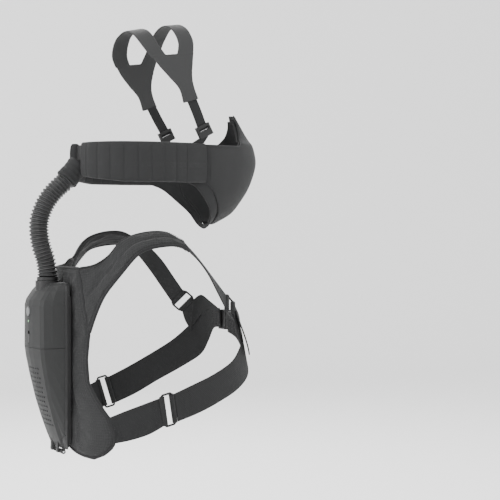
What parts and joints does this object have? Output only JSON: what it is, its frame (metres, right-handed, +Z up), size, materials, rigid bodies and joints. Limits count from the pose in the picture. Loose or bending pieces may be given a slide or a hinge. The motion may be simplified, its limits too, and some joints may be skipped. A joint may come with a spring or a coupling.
{
  "type": "powered air respirator",
  "caption": "Back-worn filter blower with a hose to a half mask, side air ducts, a head cradle and a padded torso harness.",
  "frame": {"origin": "middle of the back pad, on the side that rests against the wearer's spine", "axes": "+X the way the wearer faces, +Y the wearer's left, +Z up"},
  "size_m": [0.3381, 0.2486, 0.592],
  "materials": {
    "dark_housing": "moulded ABS with a fine spark texture",
    "grey_housing": "moulded ABS with a fine spark texture",
    "black_plastic": "moulded nylon",
    "button": "moulded, satin",
    "light_window": "clear green lens",
    "circuit_board": "solder mask",
    "battery_wrap": "shrink sleeve",
    "pale_plastic": "glass-filled nylon",
    "steel": "turned",
    "rubber": "silicone",
    "filter_media": "pleated glass-fibre paper and non-woven wool",
    "hose_rubber": "corrugated, satin",
    "sleeve_fabric": "woven polyester over an accordion liner",
    "duct_liner": "thermoplastic elastomer",
    "mask_fabric": "woven polyester bonded to a moulded shell",
    "seal_fabric": "soft knitted jersey",
    "webbing": "polyester webbing",
    "pad_fabric": "knitted spacer mesh over foam",
    "buckle_plastic": "acetal",
    "crown_rubber": "moulded elastomer, matt"
  },
  "bodies": {
    "pack_frame": {"back_shell": "dark_housing", "upper_housing": "grey_housing", "hinge_pin": "steel", "status_light": "light_window", "control_board": "circuit_board", "battery_pack": "battery_wrap", "fan_volute": "black_plastic", "motor": "steel", "motor_bearing": "steel", "outlet_collar": "black_plastic", "outlet_oring": "rubber", "charging_socket": "black_plastic", "housing_screws": "steel", "back_plate": "black_plastic", "back_pad": "pad_fabric", "hang_loop": "webbing", "shoulder_strap_right": "pad_fabric", "shoulder_strap_left": "pad_fabric", "front_webbing_right": "webbing", "front_webbing_left": "webbing", "strap_ring_right": "buckle_plastic", "strap_ring_left": "buckle_plastic", "side_belt_right": "webbing", "side_belt_left": "webbing", "belt_stub_right": "webbing", "belt_stub_left": "webbing", "belt_ring_right": "buckle_plastic", "belt_ring_left": "buckle_plastic", "buckle_socket": "buckle_plastic"},
    "fan_rotor": {"impeller": "pale_plastic", "motor_shaft": "steel"},
    "on_off_button": {"power_button": "button"},
    "latch": {"filter_latch": "black_plastic"},
    "filter_door": {"filter_cover": "grey_housing", "pre_filter": "filter_media", "particle_filter": "filter_media", "filter_seal": "rubber"},
    "hose_base": {"lower_cuff": "black_plastic", "breathing_hose": "hose_rubber"},
    "mask_unit": {"upper_cuff": "black_plastic", "elbow_sleeve": "sleeve_fabric", "neck_manifold": "black_plastic", "air_duct_right": "duct_liner", "air_duct_left": "duct_liner", "duct_sleeve_right": "sleeve_fabric", "duct_sleeve_left": "sleeve_fabric", "mask_shell": "mask_fabric", "face_seal": "seal_fabric", "jaw_panel": "seal_fabric", "valve_seat": "black_plastic", "valve_cover": "black_plastic", "harness_tab_right": "webbing", "harness_tab_left": "webbing"},
    "valve_flap": {"valve_diaphragm": "rubber"},
    "crown": {"crown_harness": "crown_rubber", "head_webbing_right": "webbing", "head_webbing_left": "webbing", "ladder_lock_right": "buckle_plastic", "ladder_lock_left": "buckle_plastic"},
    "belt_plug": {"buckle_plug": "buckle_plastic"}
  },
  "joints": [
    {"name": "impeller_spin", "type": "hinge", "parent": "pack_frame", "child": "fan_rotor", "pos_m": [-0.043, 0, 0.049], "axis": [1, 0, 0], "continuous": true},
    {"name": "button_press", "type": "slide", "parent": "pack_frame", "child": "on_off_button", "axis": [1, 0, 0], "range_m": [0, 0.0012], "stiffness_N_per_m": 600, "springref_m": -0.001},
    {"name": "latch_lift", "type": "slide", "parent": "pack_frame", "child": "latch", "axis": [0, 0, 1], "range_m": [0, 0.003], "stiffness_N_per_m": 300, "springref_m": -0.001},
    {"name": "filter_cover_hinge", "type": "hinge", "parent": "pack_frame", "child": "filter_door", "pos_m": [-0.014, 0, -0.121], "axis": [0, -1, 0], "range_deg": [0, 70]},
    {"name": "hose_swivel", "type": "hinge", "parent": "pack_frame", "child": "hose_base", "pos_m": [-0.0285, 0, 0.114], "axis": [0, 0, 1], "range_deg": [-20, 20]},
    {"name": "hose_flex", "type": "hinge", "parent": "hose_base", "child": "mask_unit", "pos_m": [-0.04, 0, 0.174], "axis": [0, 1, 0], "range_deg": [-8, 8], "deforming": ["breathing_hose"]},
    {"name": "exhale_flap", "type": "slide", "parent": "mask_unit", "child": "valve_flap", "axis": [0.7547, 0, -0.6561], "range_m": [0, 0.0012], "stiffness_N_per_m": 60, "springref_m": -0.001},
    {"name": "crown_tilt", "type": "hinge", "parent": "mask_unit", "child": "crown", "pos_m": [0.177, 0, 0.3085], "axis": [0, 1, 0], "range_deg": [-16, 10]},
    {"name": "belt_plug_slide", "type": "slide", "parent": "pack_frame", "child": "belt_plug", "axis": [0, -1, 0], "range_m": [0, 0.008]}
  ]
}
